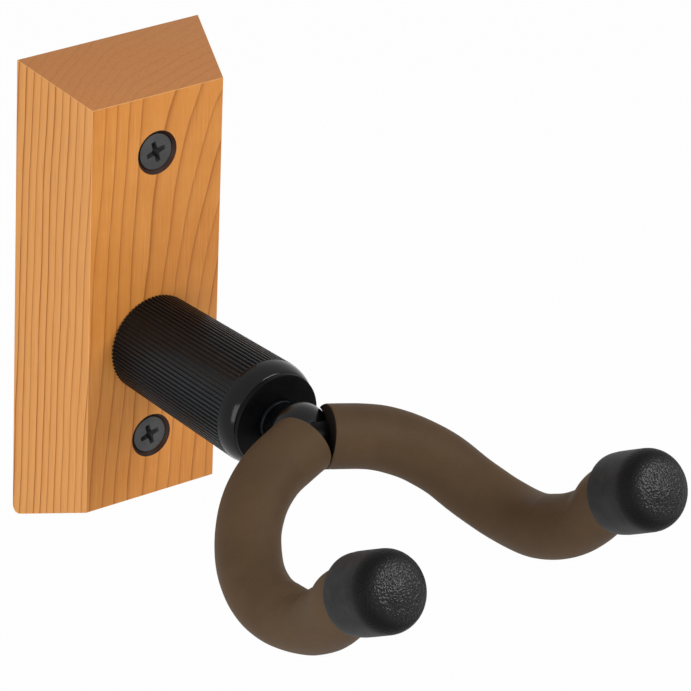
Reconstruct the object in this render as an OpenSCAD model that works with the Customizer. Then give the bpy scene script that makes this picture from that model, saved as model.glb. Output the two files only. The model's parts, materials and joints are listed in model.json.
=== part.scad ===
// Wall guitar hanger: a bevelled wood block, a ribbed arm that stands out from it, and a padded yoke
// that swivels on the arm's spindle. All sizes are in millimetres.
// +X is to the right and -Y is out from the wall. The origin is the centre of the block's back face.
// Pieces of the arm are drawn along their own +Z, with 0 at the wall, and out_from_wall() lays them down.

/* [Block] */
// Width of the block at the wall
block_w = 55.2; // [48:0.2:70]
// Height of the block at the wall
block_h = 127; // [106:1:155]
// Thickness of the block
block_t = 22; // [20:0.5:30]
// Width that the sloped border takes off each side at the front
bevel_w = 7.7; // [4:0.1:9]

/* [Wall screws] */
// Height of the upper screw above the block's centre
upper_screw_z = 40; // [32:0.5:45]
// Depth of the lower screw below the block's centre
lower_screw_z = 39; // [32:0.5:45]
// Radius of a screw's head
screw_head_r = 4.9; // [4:0.1:6]
// Radius of the plain shank
screw_shank_r = 2.4; // [2:0.1:2.9]
// Radius of the threaded length
screw_thread_r = 2.2; // [1.6:0.1:2.3]
// Length that a screw stands out of the block's back
screw_reach = 38; // [25:1:60]
// Depth of a head below the block's face
screw_sink = 0.9; // [0.5:0.1:2]
// Half the angle of the countersink
screw_cone_angle = 41; // [40:1:45]

/* [Arm] */
// Depth of the arm's axis below the block's centre
arm_drop = 12.5; // [5:0.5:18]
// Radius of the ribbed sleeve where it meets the block
sleeve_rear_r = 12.9; // [12:0.1:15]
// Radius of the ribbed sleeve at its front
sleeve_front_r = 13.8; // [12.8:0.1:16]
// Length of the ribbed part, from the block's face
ribs_l = 46.8; // [35:0.1:60]
// Length of the smooth rounded shoulder in front of the ribs
shoulder_l = 5.2; // [4:0.1:8]
// Thickness of the end collar's flange
collar_t = 1.2; // [0.8:0.1:3]
// Radius of the end collar
collar_r = 12.2; // [11.8:0.1:12.4]
// Depth of the sleeve's spigot in the block
spigot_h = 3; // [2:0.5:5]
// Radius of the sleeve's spigot
spigot_r = 10; // [9.8:0.1:11.5]
// Outer radius of the steel core tube
core_r = 8.5; // [8:0.1:9]
// Inner radius of the steel core tube
core_bore_r = 6.6; // [6:0.1:7]
// Length of the front bush's barrel
front_bush_l = 12; // [8:1:20]
// Thickness of the bushes' flanges
flange_t = 1.5; // [1:0.1:2.5]

/* [Spindle and its fasteners] */
// Radius of the spindle
spindle_r = 4; // [3.2:0.1:4.5]
// Depth of the nut's recess in the block's back
recess_h = 13; // [12.5:0.5:14]
// Radius of the nut's recess
recess_r = 11; // [10.2:0.1:13]
// Radius of the flat washer
washer_r = 9.5; // [8.5:0.1:10]
// Thickness of the flat washer
washer_t = 1.6; // [1:0.1:2]
// Radius of the split spring washer
spring_washer_r = 7.2; // [6.5:0.1:8]
// Thickness of the split spring washer
spring_washer_t = 2; // [1.5:0.1:2.5]
// Width of the lock nut across its flats
nut_flats = 13; // [12.5:0.5:15]
// Height of the lock nut's hexagon
nut_hex_h = 5; // [4:0.1:6]
// Height of the lock nut's round collar
nut_collar_h = 2; // [1.8:0.1:2.5]
// Radius of the thrust washer between arm and yoke
thrust_washer_r = 5.6; // [5:0.1:9]
// Thickness of the thrust washer
thrust_washer_t = 1; // [0.6:0.1:2]

/* [Yoke] */
// Turn of the yoke about the arm, as it hangs
yoke_turn = 3; // [-10:0.5:10]
// Radius of the hub's ball
hub_ball_r = 8.1; // [7.4:0.1:8.4]
// Distance of the ball's middle from the hub's back face
hub_ball_reach = 7.7; // [7.2:0.1:8.2]
// Radius of the hub's neck, behind the ball
hub_neck_r = 5.5; // [5:0.1:6.5]
// Length that the spindle goes into the hub
hub_socket_l = 7; // [5:0.5:7.5]
// Distance of the rod's middle from the hub's back face
rod_reach = 13.2; // [13:0.1:18]
// Height of the rod's middle above the arm's axis
rod_rise = 1.6; // [-1:0.1:2]
// Radius of the yoke's steel rod
rod_r = 4; // [3.2:0.1:4.2]
// Slope of the yoke's plane below level
yoke_slope = 40; // [25:1:50]
// Angle that each half of the rod leans forward from the hub
arm_splay = 17.5; // [10:0.5:25]
// Length of rod that is straight from the hub to its first bend
side_run = 10.8; // [8:0.2:16]
// Length of rod inside a tip cap
tip_run = 13; // [12:0.5:14]

/* [Tubes and tip caps] */
// Outer radius of the padded tubes
tube_r = 8.1; // [7:0.1:9]
// Distance of a tube's open end from the yoke's middle, along the rod, at the back
tube_start = 3.8; // [3.4:0.1:5]
// The same distance at the front, where the end is cut off before it reaches the other tube
tube_start_front = 2.35; // [2:0.05:3]
// Half the gap between the two tubes, where they meet in front of the hub
tube_meet_gap = 0.15; // [0.1:0.05:0.5]
// Outer radius of a tip cap
cap_r = 10.1; // [9.6:0.1:12]
// Length of a tip cap
cap_l = 18.4; // [17:0.2:24]
// Radius of the rounding at a cap's closed end
cap_round = 5.5; // [3:0.5:7]
// Radius of the rounding at a cap's open end
cap_lip_round = 1; // [0.3:0.1:1.4]
// Depth that a tube goes into its cap
cap_socket_l = 9; // [6:0.5:10]

/* [Fits] */
// Radial gap of a shaft that turns in a bore
running_gap = 0.06; // [0.02:0.01:0.1]
// Radial gap between pieces that are pushed together
seat_gap = 0.05; // [0.02:0.01:0.1]
// Gap between flat faces that slide on each other
face_gap = 0.1; // [0.05:0.01:0.2]
// Radial gap around a screw's shank in the block
screw_gap = 0.25; // [0.1:0.05:0.5]
// Gap between the hub's ball and the tubes' open ends
ball_gap = 0.2; // [0.15:0.05:0.5]

/* [Hidden] */
$fn = 72;
cut = 1; // how far a cut runs past the face it opens

collar_plug_h = 2.5; // depth of the collar's plug in the sleeve
collar_plug_r = core_r + 2;
nut_insert_wall = 1.2;
nut_collar_r = nut_flats / 2 - 0.3;
screw_head_h = (screw_head_r - screw_shank_r) / tan(screw_cone_angle);
screw_point_l = 7;
screw_thread_start = 0.5;
screw_tip_r = 0.2;
screw_cross_turn = 18;

// Stations along the arm, from the wall
web_front = block_t - spigot_h;
sleeve_front = block_t + ribs_l + shoulder_l;
collar_front = sleeve_front + collar_t;
collar_back = sleeve_front - collar_plug_h;
core_front = collar_back - flange_t - face_gap;
core_back = web_front + flange_t;
hub_back = collar_front + face_gap + thrust_washer_t;
ball_station = hub_back + hub_ball_reach;
rod_station = hub_back + rod_reach;
washer_front = recess_h - face_gap;
spring_front = washer_front - washer_t;
nut_front = spring_front - spring_washer_t;
nut_back = nut_front - nut_hex_h - nut_collar_h;
spindle_back = nut_back - 0.8;

// The rod past its first straight length, as a bender makes it. Each bend is
// [roll of the bend's plane about the rod, bend radius, bend angle].
rod_bends = [[0, 36, 46], [-66, 25, 54], [-48, 38, 47], [173, 19, 27]];
bend_step = 6; // angle between two rings of the rod's or a tube's skin
rod_sides = 16;
tube_sides = 24;

module out_from_wall(height) {
    translate([0, 0, height]) rotate([90, 0, 0]) children();
}

module on_arm() {
    out_from_wall(-arm_drop) children();
}

module ring(outer_r, inner_r, back, front) {
    translate([0, 0, back]) difference() {
        cylinder(r = outer_r, h = front - back);
        translate([0, 0, -cut]) cylinder(r = inner_r, h = front - back + 2 * cut);
    }
}

// ---- the block and its screws ----

module block_body() {
    front_w = block_w - 2 * bevel_w;
    front_h = block_h - 2 * bevel_w;
    intersection() {
        linear_extrude(block_h, center = true)
            polygon([[-block_w / 2, 0], [block_w / 2, 0], [front_w / 2, -block_t], [-front_w / 2, -block_t]]);
        rotate([90, 0, 90]) linear_extrude(block_w, center = true)
            polygon([[0, -block_h / 2], [0, block_h / 2], [-block_t, front_h / 2], [-block_t, -front_h / 2]]);
    }
}

// The cone widens past the face, so that it cuts the rim cleanly.
module screw_hole() {
    seat = block_t - screw_sink - screw_head_h;
    cone_h = block_t + cut - seat;
    seat_r = screw_shank_r + seat_gap;
    translate([0, 0, -cut]) cylinder(r = screw_shank_r + screw_gap, h = block_t + 2 * cut);
    translate([0, 0, seat])
        cylinder(r1 = seat_r, r2 = seat_r + cone_h * tan(screw_cone_angle), h = cone_h);
}

module wood_block() {
    color("peru") difference() {
        block_body();
        out_from_wall(upper_screw_z) screw_hole();
        out_from_wall(-lower_screw_z) screw_hole();
        on_arm() {
            translate([0, 0, -cut]) cylinder(r = recess_r, h = recess_h + cut);
            cylinder(r = core_bore_r, h = block_t);
            translate([0, 0, web_front]) cylinder(r = spigot_r + seat_gap, h = spigot_h + cut);
        }
    }
}

module wall_screw() {
    head_top = block_t - screw_sink;
    seat = head_top - screw_head_h;
    slot_l = screw_head_r * 1.15;
    slot_w = screw_head_r * 0.24;
    slot_h = screw_head_r * 0.45;
    difference() {
        union() {
            translate([0, 0, seat]) cylinder(r1 = screw_shank_r, r2 = screw_head_r, h = screw_head_h);
            translate([0, 0, -screw_thread_start]) cylinder(r = screw_shank_r, h = seat + screw_thread_start);
            translate([0, 0, screw_point_l - screw_reach])
                cylinder(r = screw_thread_r, h = screw_reach - screw_point_l - screw_thread_start);
            translate([0, 0, -screw_reach])
                cylinder(r1 = screw_tip_r, r2 = screw_thread_r, h = screw_point_l);
        }
        for (turn = [screw_cross_turn, screw_cross_turn + 90])
            translate([0, 0, head_top]) rotate([0, 0, turn])
                cube([slot_l, slot_w, 2 * slot_h], center = true);
    }
}

module wall_screw_upper() {
    color("dimgray") out_from_wall(upper_screw_z) wall_screw();
}

module wall_screw_lower() {
    color("dimgray") out_from_wall(-lower_screw_z) wall_screw();
}

// ---- the arm ----

module arm_sleeve() {
    shoulder_r = sleeve_front_r - 0.4;
    shoulder_drop = shoulder_r - collar_r - 0.1;
    shoulder = [for (a = [0 : 18 : 90])
        [shoulder_r - shoulder_drop * (1 - cos(a)), sleeve_front - shoulder_l * (1 - sin(a))]];
    color("dimgray") on_arm() rotate_extrude() polygon(concat(
        [[core_r + seat_gap, web_front], [spigot_r, web_front], [spigot_r, block_t],
            [sleeve_rear_r, block_t], [sleeve_front_r, block_t + ribs_l]],
        shoulder,
        [[collar_plug_r + seat_gap, sleeve_front], [collar_plug_r + seat_gap, collar_back - face_gap],
            [core_r + seat_gap, collar_back - face_gap]]
    ));
}

module core_tube() {
    color("silver") on_arm() ring(core_r, core_bore_r, core_back, core_front);
}

module end_collar() {
    bore_r = spindle_r + 0.8;
    color("black") on_arm() {
        ring(collar_r, bore_r, sleeve_front, collar_front);
        ring(collar_plug_r, bore_r, collar_back, sleeve_front);
    }
}

module front_bush() {
    bore_r = spindle_r + running_gap;
    color("ivory") on_arm() {
        ring(core_bore_r - seat_gap, bore_r, core_front - front_bush_l, core_front);
        ring(core_r, bore_r, core_front, core_front + flange_t);
    }
}

module rear_bush() {
    bore_r = spindle_r + running_gap;
    color("ivory") on_arm() {
        ring(core_bore_r - seat_gap, bore_r, recess_h, web_front);
        ring(core_r, bore_r, web_front, web_front + flange_t);
    }
}

// ---- the spindle and its fasteners ----

module spindle() {
    color("silver") on_arm() translate([0, 0, spindle_back])
        cylinder(r = spindle_r, h = hub_back + hub_socket_l - spindle_back);
}

module thrust_washer() {
    color("black") on_arm()
        ring(thrust_washer_r, spindle_r + seat_gap, collar_front + face_gap, hub_back);
}

module flat_washer() {
    color("silver") on_arm() ring(washer_r, spindle_r + seat_gap, spring_front, washer_front);
}

module spring_washer() {
    split_w = 1.2;
    color("silver") on_arm() difference() {
        ring(spring_washer_r, spindle_r + seat_gap, nut_front, spring_front);
        rotate([0, 0, 60]) translate([0, -split_w / 2, nut_front - cut])
            cube([spring_washer_r + cut, split_w, spring_washer_t + 2 * cut]);
    }
}

module lock_nut() {
    insert_r = spindle_r + nut_insert_wall;
    color("silver") on_arm() difference() {
        union() {
            translate([0, 0, nut_front - nut_hex_h])
                cylinder(r = nut_flats / 2 / cos(30), h = nut_hex_h, $fn = 6);
            translate([0, 0, nut_back]) cylinder(r = nut_collar_r, h = nut_collar_h);
        }
        translate([0, 0, nut_back - cut])
            cylinder(r = spindle_r + seat_gap, h = nut_hex_h + nut_collar_h + 2 * cut);
        translate([0, 0, nut_back - cut]) cylinder(r = insert_r + seat_gap, h = nut_collar_h + cut);
    }
}

module nut_insert() {
    color("royalblue") on_arm()
        ring(spindle_r + nut_insert_wall, spindle_r + seat_gap, nut_back, nut_back + nut_collar_h);
}

// ---- the yoke ----

module turned() {
    on_arm() rotate([0, 0, yoke_turn]) children();
}

// Puts children at the rod's middle, with +Z to the right and +X forward in the yoke's plane.
module at_rod_middle() {
    turned() translate([0, rod_rise, rod_station]) rotate([yoke_slope, 0, 0])
        rotate([0, 90, 0]) rotate([0, 0, 180]) children();
}

// Puts children at the open end of the right tip cap, with +Z into the cap. It follows the first i bends.
module at_tip(i = len(rod_bends)) {
    if (i == 0) rotate([0, arm_splay, 0]) translate([0, 0, side_run]) children();
    else at_tip(i - 1) rotate([0, 0, rod_bends[i - 1][0]]) translate([rod_bends[i - 1][1], 0, 0])
        rotate([0, rod_bends[i - 1][2], 0]) translate([-rod_bends[i - 1][1], 0, 0]) children();
}

// A station on the rod is [point, direction, normal], and the normal never twists about the rod.
function first_station() = let (d = [sin(arm_splay), 0, cos(arm_splay)])
    [d * side_run, d, [cos(arm_splay), 0, -sin(arm_splay)]];

function roll_before(i) = i < 0 ? 0 : rod_bends[i][0] + roll_before(i - 1);

function along_bend(s, i, angle) = let (
        roll = roll_before(i),
        bend_r = rod_bends[i][1],
        over = s[2] * cos(roll) + cross(s[1], s[2]) * sin(roll),
        axis = cross(s[1], over)
    ) [
        s[0] + bend_r * (sin(angle) * s[1] + (1 - cos(angle)) * over),
        cos(angle) * s[1] + sin(angle) * over,
        s[2] * cos(angle) + cross(axis, s[2]) * sin(angle) + axis * (axis * s[2]) * (1 - cos(angle))
    ];

function bend_start(i) = i == 0 ? first_station() : along_bend(bend_start(i - 1), i - 1, rod_bends[i - 1][2]);

function moved_on(s, run) = [s[0] + s[1] * run, s[1], s[2]];

// Stations from the start of the first bend to a straight length past the last one.
function arm_stations(last_run) = let (n_bends = len(rod_bends)) concat(
    [first_station()],
    [for (i = [0 : n_bends - 1]) let (s = bend_start(i), n = ceil(rod_bends[i][2] / bend_step))
        for (k = [1 : n]) along_bend(s, i, rod_bends[i][2] * k / n)],
    [moved_on(bend_start(n_bends), last_run)]
);

function ring_at(s, r, sides) = [for (k = [0 : sides - 1]) let (a = 360 * k / sides)
    s[0] + r * (cos(a) * s[2] + sin(a) * cross(s[1], s[2]))];

// The ring where the two halves of the rod meet, in the plane between them.
function middle_ring(r, sides) = let (s = moved_on(first_station(), -side_run))
    [for (p = ring_at(s, r, sides)) p - s[1] * (p[2] / s[1][2])];

function mirrored(ring) = [for (p = ring) [p[0], p[1], -p[2]]];

// Quads between ring number j and ring number next.
function band(j, next, sides) = [for (k = [0 : sides - 1]) let (k2 = (k + 1) % sides)
    [j * sides + k, next * sides + k, next * sides + k2, j * sides + k2]];

function flat(lists) = [for (list = lists) for (item = list) item];

module yoke_rod() {
    half = [for (s = arm_stations(tip_run)) ring_at(s, rod_r, rod_sides)];
    last = len(half) - 1;
    rings = concat([for (j = [last : -1 : 0]) mirrored(half[j])], [middle_ring(rod_r, rod_sides)], half);
    ends = [[for (k = [0 : rod_sides - 1]) k],
        [for (k = [rod_sides - 1 : -1 : 0]) (len(rings) - 1) * rod_sides + k]];
    skin = [for (j = [0 : len(rings) - 2]) each band(j, j + 1, rod_sides)];
    color("dimgray") at_rod_middle() polyhedron(flat(rings), concat(ends, skin));
}

// Middle of the hub's ball, seen from the rod's middle.
function ball_place() = let (ahead = rod_station - ball_station) [
    rod_rise * sin(yoke_slope) - ahead * cos(yoke_slope),
    rod_rise * cos(yoke_slope) + ahead * sin(yoke_slope),
    0
];

// Distance along the rod at which a point clears the hub's ball, or 0 where it misses the ball.
function clear_of_ball(from, d) = let (
        q = from - ball_place(),
        reach = hub_ball_r + ball_gap,
        room = (q * d) * (q * d) - q * q + reach * reach
    ) room > 0 ? sqrt(room) - q * d : 0;

// A ring of the open end. The end slants, stops short of the other tube and wraps round the hub's ball.
function open_ring(r) = let (
        s = moved_on(first_station(), -side_run)
    ) [for (k = [0 : tube_sides - 1]) let (
            a = 360 * k / tube_sides,
            out = r * (cos(a) * s[2] + sin(a) * cross(s[1], s[2])),
            cut_at = tube_start_front + (tube_start - tube_start_front) * (1 - cos(a) * r / tube_r) / 2,
            meet_at = (tube_meet_gap - out[2]) / s[1][2]
        ) out + s[1] * max(cut_at, meet_at, clear_of_ball(out, s[1]))];

// The skin goes out along the tube's outside, comes back along its bore and ends across the open end.
module arm_tube() {
    stations = arm_stations(cap_socket_l);
    last = len(stations) - 1;
    bore_r = rod_r + seat_gap;
    rings = concat(
        [open_ring(tube_r)],
        [for (s = stations) ring_at(s, tube_r, tube_sides)],
        [for (j = [last : -1 : 0]) ring_at(stations[j], bore_r, tube_sides)],
        [open_ring(bore_r), open_ring((bore_r + tube_r) / 2)]
    );
    skin = [for (j = [0 : len(rings) - 1]) each band(j, (j + 1) % len(rings), tube_sides)];
    polyhedron(flat(rings), skin);
}

module tip_cap() {
    dome_rise = 0.7;
    end_round = [for (a = [0 : 15 : 90])
        [cap_r - cap_round * (1 - cos(a)), cap_l - dome_rise - cap_round * (1 - sin(a))]];
    lip = [for (a = [0 : 30 : 90])
        [cap_r - cap_lip_round * (1 - sin(a)), cap_lip_round * (1 - cos(a))]];
    tube_bore = tube_r + seat_gap;
    rod_bore = rod_r + seat_gap;
    at_tip() rotate_extrude() polygon(concat(
        [[tube_bore, 0]], lip, end_round,
        [[0, cap_l], [0, tip_run + seat_gap], [rod_bore, tip_run + seat_gap],
            [rod_bore, cap_socket_l + seat_gap], [tube_bore, cap_socket_l + seat_gap]]
    ));
}

module yoke_hub() {
    back_angle = 180 - asin(hub_neck_r / hub_ball_r);
    ball_side = [for (k = [0 : 32]) let (a = back_angle * (1 - k / 32))
        [hub_ball_r * sin(a), ball_station + hub_ball_r * cos(a)]];
    color("black") difference() {
        turned() rotate_extrude()
            polygon(concat([[0, hub_back], [hub_neck_r, hub_back]], ball_side));
        on_arm() translate([0, 0, hub_back - cut])
            cylinder(r = spindle_r + seat_gap, h = hub_socket_l + seat_gap + cut);
        for (lean = [arm_splay, 180 - arm_splay])
            at_rod_middle() rotate([0, lean, 0]) translate([0, 0, -rod_r * tan(arm_splay)])
                cylinder(r = rod_r + seat_gap, h = side_run);
    }
}

module arm_tube_right() {
    color("saddlebrown") at_rod_middle() arm_tube();
}

module arm_tube_left() {
    color("saddlebrown") at_rod_middle() mirror([0, 0, 1]) arm_tube();
}

module tip_cap_right() {
    color("black") at_rod_middle() tip_cap();
}

module tip_cap_left() {
    color("black") at_rod_middle() mirror([0, 0, 1]) tip_cap();
}

wood_block();
wall_screw_upper();
wall_screw_lower();
arm_sleeve();
core_tube();
end_collar();
front_bush();
rear_bush();
spindle();
thrust_washer();
flat_washer();
spring_washer();
lock_nut();
nut_insert();
yoke_hub();
yoke_rod();
arm_tube_left();
arm_tube_right();
tip_cap_left();
tip_cap_right();
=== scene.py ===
# %% [markdown]
# # A wall guitar hanger
#
# A block of cherry wood is screwed to a wall. A ribbed black arm stands out from it, and a padded yoke
# swivels on the end of the arm and holds the instrument by its neck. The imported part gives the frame:
# every size that two pieces share is read from it, and Blender adds the finish.

# %% Load the frame
import json
import math
import bmesh
import bpy
from mathutils import Matrix, Vector, noise


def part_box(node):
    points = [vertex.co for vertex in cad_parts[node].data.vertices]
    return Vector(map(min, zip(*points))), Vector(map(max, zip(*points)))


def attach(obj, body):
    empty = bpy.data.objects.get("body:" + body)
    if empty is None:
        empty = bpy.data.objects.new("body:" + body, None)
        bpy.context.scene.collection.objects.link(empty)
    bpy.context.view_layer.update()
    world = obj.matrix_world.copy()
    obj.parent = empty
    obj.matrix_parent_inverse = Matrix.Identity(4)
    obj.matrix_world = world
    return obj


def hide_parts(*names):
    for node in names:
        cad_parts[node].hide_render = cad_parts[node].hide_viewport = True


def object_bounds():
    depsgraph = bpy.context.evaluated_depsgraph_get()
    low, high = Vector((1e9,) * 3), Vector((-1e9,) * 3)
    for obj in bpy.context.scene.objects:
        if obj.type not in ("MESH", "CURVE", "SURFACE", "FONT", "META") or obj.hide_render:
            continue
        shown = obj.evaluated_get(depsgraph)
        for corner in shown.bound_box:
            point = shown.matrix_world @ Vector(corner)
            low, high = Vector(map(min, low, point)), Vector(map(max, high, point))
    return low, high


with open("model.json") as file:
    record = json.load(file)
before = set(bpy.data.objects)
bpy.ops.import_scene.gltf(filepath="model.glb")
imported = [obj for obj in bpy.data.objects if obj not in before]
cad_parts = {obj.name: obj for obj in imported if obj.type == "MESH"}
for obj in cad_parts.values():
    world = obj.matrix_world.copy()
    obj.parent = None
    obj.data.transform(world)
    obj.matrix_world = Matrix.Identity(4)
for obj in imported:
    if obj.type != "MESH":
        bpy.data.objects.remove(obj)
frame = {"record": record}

MM = 0.001
cad_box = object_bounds()
hinge = Vector(frame["record"]["behaviour"]["joints"][0]["pos_m"])

# %% [markdown]
# ## Reading sizes from the frame
#
# A box in the frame has a lowest and a highest corner. Pieces of the arm lie along -Y, so their distance
# from the wall is the negative of Y. Two small readers turn the boxes into the words that a maker uses.

# %% Distances and radii of the arm's pieces
def station(node, end):
    low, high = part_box(node)
    return -low[1] if end == "front" else -high[1]


def radius_of(node):
    low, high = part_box(node)
    return (high[0] - low[0]) / 2


block_low, block_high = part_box("wood_block")
block_t = station("wood_block", "front")
print("block thickness", round(block_t / MM, 1), "mm, sleeve radius", round(radius_of("arm_sleeve") / MM, 1), "mm")

# %% [markdown]
# ## Camera and stage
#
# The view is a long lens from the left, a little above, as for a catalogue picture. A long lens keeps the
# block's upright edges nearly parallel. The camera is placed from angles and a distance, so that no number
# in it depends on the size of the picture.

# %% Camera
CAMERA_AZIMUTH = math.radians(-38.03)
CAMERA_ELEVATION = math.radians(25.76)
CAMERA_ROLL = math.radians(2.23)
CAMERA_DISTANCE = 1.364
LENS = 286.6
AIM = Vector((0.02076, -0.07473, 0.00246))


def camera_axes():
    a, e = CAMERA_AZIMUTH, CAMERA_ELEVATION
    back = Vector((math.sin(a) * math.cos(e), -math.cos(a) * math.cos(e), math.sin(e)))
    right = Vector((math.cos(a), math.sin(a), 0))
    turn = Matrix.Rotation(CAMERA_ROLL, 3, back)
    return turn @ right, turn @ back.cross(right), back


def make_camera():
    right, up, back = camera_axes()
    data = bpy.data.cameras.new("camera")
    data.lens = LENS
    data.sensor_width = 36
    camera = bpy.data.objects.new("camera", data)
    bpy.context.collection.objects.link(camera)
    turn = Matrix((right, up, back)).transposed().to_4x4()
    camera.matrix_world = Matrix.Translation(AIM + back * CAMERA_DISTANCE) @ turn
    data.clip_start, data.clip_end = 0.1, 20
    bpy.context.scene.camera = camera


make_camera()
bpy.context.scene.view_settings.view_transform = "Standard"
print("camera at", tuple(round(v, 3) for v in bpy.context.scene.camera.location))

# %% [markdown]
# ## Building node trees
#
# Materials and Geometry Nodes are both trees of nodes. One helper adds a node, sets its properties, and
# either fills an input with a value or links another node's output to it. The trees then read from top to
# bottom like a recipe.

# %% Node helpers
def add(tree, kind, inputs=(), **settings):
    made = tree.nodes.new(kind)
    for key, value in settings.items():
        setattr(made, key, value)
    for key, value in dict(inputs).items():
        if isinstance(value, bpy.types.NodeSocket):
            tree.links.new(value, made.inputs[key])
        else:
            made.inputs[key].default_value = value
    return made


def maths(tree, operation, a, b=0.0, c=0.0):
    return add(tree, "ShaderNodeMath", {0: a, 1: b, 2: c}, operation=operation).outputs[0]


def mixed(tree, factor, a, b):
    made = add(tree, "ShaderNodeMix", data_type="RGBA")
    for index, value in ((0, factor), (6, a), (7, b)):
        if isinstance(value, bpy.types.NodeSocket):
            tree.links.new(value, made.inputs[index])
        else:
            made.inputs[index].default_value = value
    return made.outputs[2]


def faded(tree, value, start, end):
    """0 below start, 1 above end, and smooth between them."""
    made = add(tree, "ShaderNodeMapRange", {0: value, 1: start, 2: end, 3: 0.0, 4: 1.0},
               interpolation_type="SMOOTHSTEP")
    return made.outputs[0]


def rgb(red, green, blue):
    """A colour given as 0 to 255 on a screen, turned into the linear values that a shader uses."""
    def linear(v):
        v /= 255
        return v / 12.92 if v <= 0.04045 else ((v + 0.055) / 1.055) ** 2.4
    return (linear(red), linear(green), linear(blue), 1.0)


def new_material(name, **constants):
    made = bpy.data.materials.new(name)
    made.use_nodes = True
    tree = made.node_tree
    shader = tree.nodes["Principled BSDF"]
    for label, value in constants.items():
        shader.inputs[label.replace("_", " ")].default_value = value
    place = add(tree, "ShaderNodeTexCoord").outputs["Object"]
    return made, tree, shader, place


print("a mid grey of 128 is", round(rgb(128, 128, 128)[0], 3), "in linear light")

# %% [markdown]
# ## Floor, world and lamps
#
# The stage is a plain white floor. It is a real surface that keeps the shadow, and the part of it that the
# camera sees is lifted towards white. The light is one broad lamp high on the right and a weaker one on
# the left, in an even white world, so a surface comes out about as bright as its colour is written.

# %% Stage
FLOOR_DROP = 0.16
WORLD_LIGHT = 0.45


def seen_directly(tree):
    """1 for the rays that show the background: the camera's own, and those off gloss or through glass."""
    path = add(tree, "ShaderNodeLightPath")
    either = maths(tree, "MAXIMUM", path.outputs["Is Camera Ray"], path.outputs["Is Glossy Ray"])
    return maths(tree, "MAXIMUM", either, path.outputs["Is Transmission Ray"])


def make_floor():
    height = cad_box[0][2] - FLOOR_DROP
    reach = 6
    mesh = bpy.data.meshes.new("floor")
    mesh.from_pydata([(-reach, -reach, height), (reach, -reach, height), (reach, reach, height),
                      (-reach, reach, height)], [], [(0, 1, 2, 3)])
    floor = bpy.data.objects.new("floor", mesh)
    bpy.context.collection.objects.link(floor)
    made, tree, shader, place = new_material("floor_white", Roughness=0.9)
    shader.inputs["Base Color"].default_value = (0.86, 0.86, 0.86, 1)
    glow = add(tree, "ShaderNodeEmission", {"Color": (1, 1, 1, 1), "Strength": 1.0})
    lift = maths(tree, "MULTIPLY", seen_directly(tree), 0.97)
    blend = add(tree, "ShaderNodeMixShader", {0: lift, 1: shader.outputs[0], 2: glow.outputs[0]})
    tree.links.new(blend.outputs[0], tree.nodes["Material Output"].inputs["Surface"])
    mesh.materials.append(made)


def make_world():
    world = bpy.data.worlds.new("studio")
    bpy.context.scene.world = world
    world.use_nodes = True
    tree = world.node_tree
    back = tree.nodes["Background"]
    strength = maths(tree, "MULTIPLY_ADD", seen_directly(tree), 1.0 - WORLD_LIGHT, WORLD_LIGHT)
    back.inputs["Color"].default_value = (1, 1, 1, 1)
    tree.links.new(strength, back.inputs["Strength"])


def make_lamp(name, direction, distance, size, power):
    centre = (Vector(cad_box[0]) + Vector(cad_box[1])) / 2
    data = bpy.data.lights.new(name, "AREA")
    data.shape = "SQUARE"
    data.size = size
    data.energy = power
    lamp = bpy.data.objects.new(name, data)
    bpy.context.collection.objects.link(lamp)
    towards = Vector(direction).normalized()
    lamp.matrix_world = Matrix.Translation(centre + towards * distance) @ towards.to_track_quat("Z", "Y").to_matrix().to_4x4()


make_floor()
make_world()
make_lamp("key", (0.55, -1.0, 0.75), 1.0, 0.4, 5.0)
make_lamp("fill", (-1.0, -0.35, 0.1), 1.1, 0.7, 6.4)
print("floor", round(FLOOR_DROP / MM), "mm under the block")

# %% [markdown]
# ## Effects that several finishes share
#
# Real surfaces are never quite even. Two small node groups are built once and placed in each material with
# their own sizes: one gives the fine height of a grained or moulded skin, the other a slow change of tone.

# %% Shader groups
def shader_group(name, inputs, outputs):
    group = bpy.data.node_groups.new(name, "ShaderNodeTree")
    for label, default in inputs.items():
        kind = "NodeSocketVector" if default is None else "NodeSocketFloat"
        socket = group.interface.new_socket(label, in_out="INPUT", socket_type=kind)
        if default is not None:
            socket.default_value = default
    for label in outputs:
        group.interface.new_socket(label, in_out="OUTPUT", socket_type="NodeSocketFloat")
    return group, add(group, "NodeGroupInput").outputs, add(group, "NodeGroupOutput").inputs


def make_skin_grain():
    """Height of a fine skin: pebbles of one size with finer roughness over them."""
    group, given, result = shader_group("skin_grain", {"Place": None, "Pebble": 1.0, "Fine": 0.3}, ["Height"])
    size = maths(group, "DIVIDE", 1.0, maths(group, "MULTIPLY", given["Pebble"], MM))
    cells = add(group, "ShaderNodeTexVoronoi", {"Vector": given["Place"], "Scale": size},
                feature="SMOOTH_F1")
    rough = add(group, "ShaderNodeTexNoise", {"Vector": given["Place"], "Scale": maths(group, "MULTIPLY", size, 2.0),
                                             "Detail": 3.0})
    height = maths(group, "MULTIPLY_ADD", rough.outputs[0], given["Fine"], cells.outputs["Distance"])
    group.links.new(height, result["Height"])
    return group


def make_slow_tone():
    """A mask from 0 to 1 that changes slowly over a surface, with a little fine mottling in it."""
    group, given, result = shader_group("slow_tone", {"Place": None, "Size": 20.0}, ["Tone"])
    size = maths(group, "DIVIDE", 1.0, maths(group, "MULTIPLY", given["Size"], MM))
    slow = add(group, "ShaderNodeTexNoise", {"Vector": given["Place"], "Scale": size, "Detail": 4.0,
                                            "Roughness": 0.6})
    group.links.new(faded(group, slow.outputs[0], 0.3, 0.7), result["Tone"])
    return group


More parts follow.
